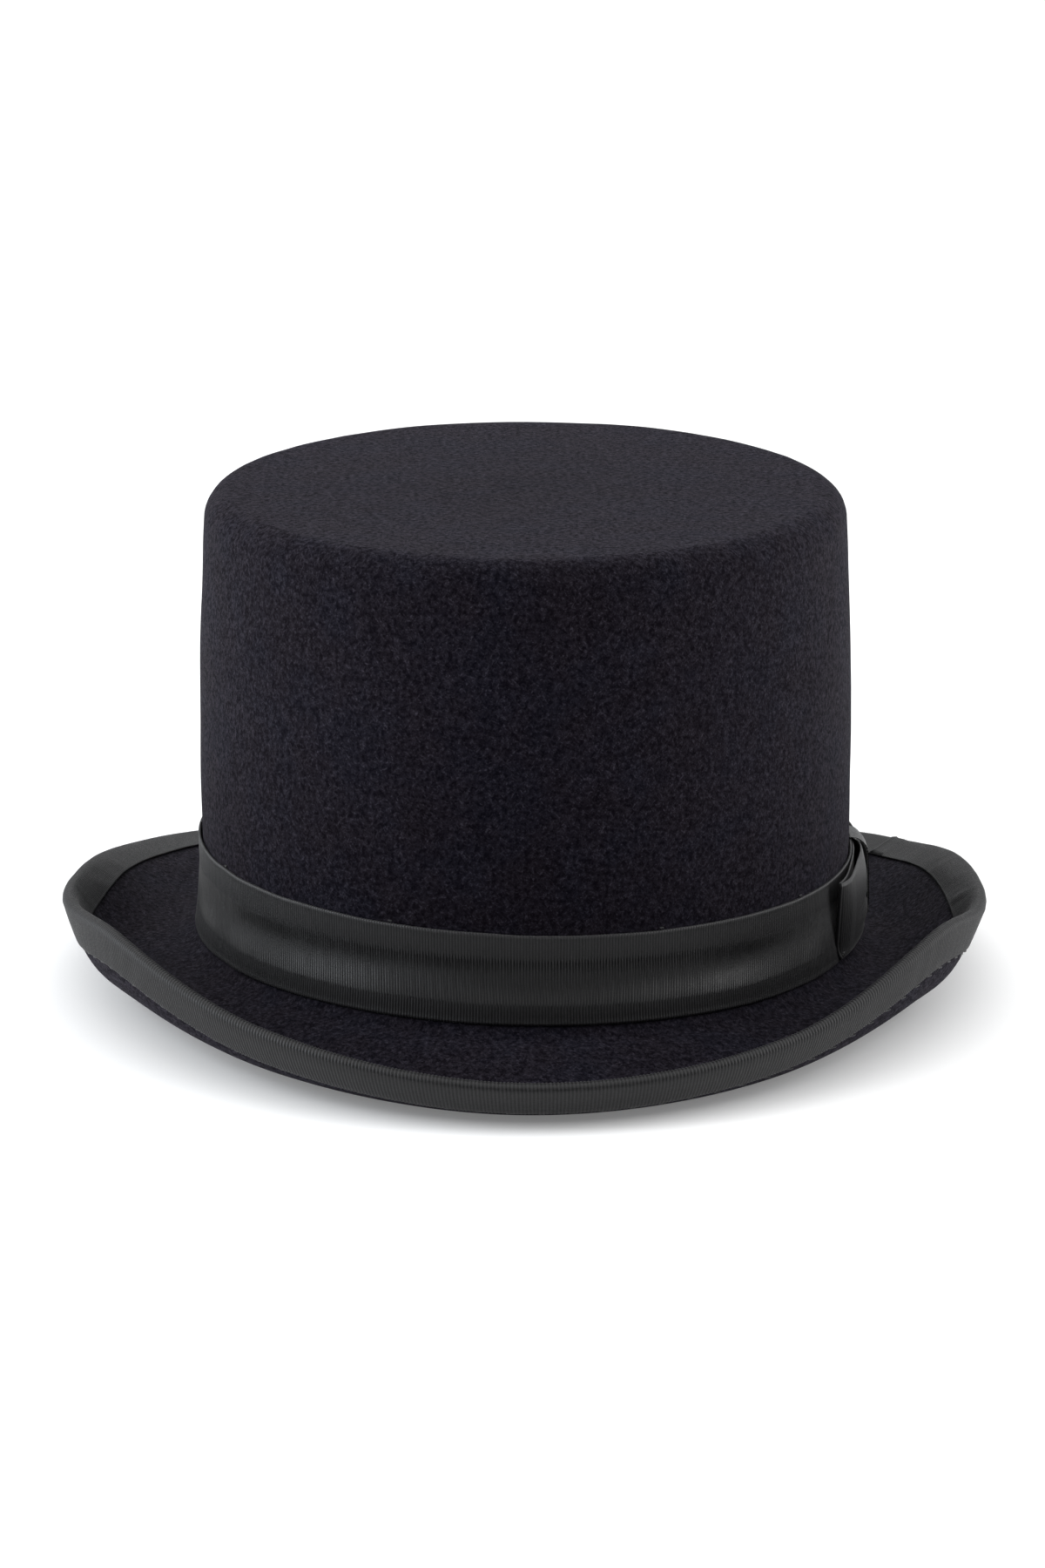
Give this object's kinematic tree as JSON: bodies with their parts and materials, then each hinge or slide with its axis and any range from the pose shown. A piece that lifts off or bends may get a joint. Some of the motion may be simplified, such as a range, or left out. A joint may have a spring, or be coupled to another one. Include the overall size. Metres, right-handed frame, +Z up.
{
  "type": "top hat",
  "caption": "Stiff felt top hat with a flat oval tip, curled bound brim, ribbon band with a flat side bow, and a lined, leather-banded inside.",
  "frame": {"origin": "centre of the bounding box in plan, on the plane the brim rests on", "axes": "+Z up through the crown; front of the hat toward -Y; wearer's left, the side with the bow, toward +X; +Y toward the back"},
  "size_m": [0.2518, 0.3122, 0.1331],
  "materials": {
    "felt": "brushed fur felt",
    "ribbon": "ribbed grosgrain",
    "binding": "ribbed grosgrain",
    "thread": "matte thread",
    "thread_inside": "matte thread",
    "sweat_leather": "satin hide",
    "reed": "matte",
    "tape": "woven tape",
    "label": "woven, blank",
    "satin": "satin weave"
  },
  "bodies": {
    "root": {"felt_body": "felt", "hat_band": "ribbon", "bow_loops": "ribbon", "bow_knot": "ribbon", "brim_binding": "binding", "binding_stitches": "thread", "band_tacks": "thread", "bow_tacks": "thread", "sweatband": "sweat_leather", "sweatband_stitches": "thread_inside", "sweatband_reed": "reed", "reed_tape": "tape", "sweatband_bow": "tape", "size_label": "label", "lining_wall": "satin", "lining_tip": "satin", "lining_tacks": "thread_inside"}
  },
  "joints": []
}
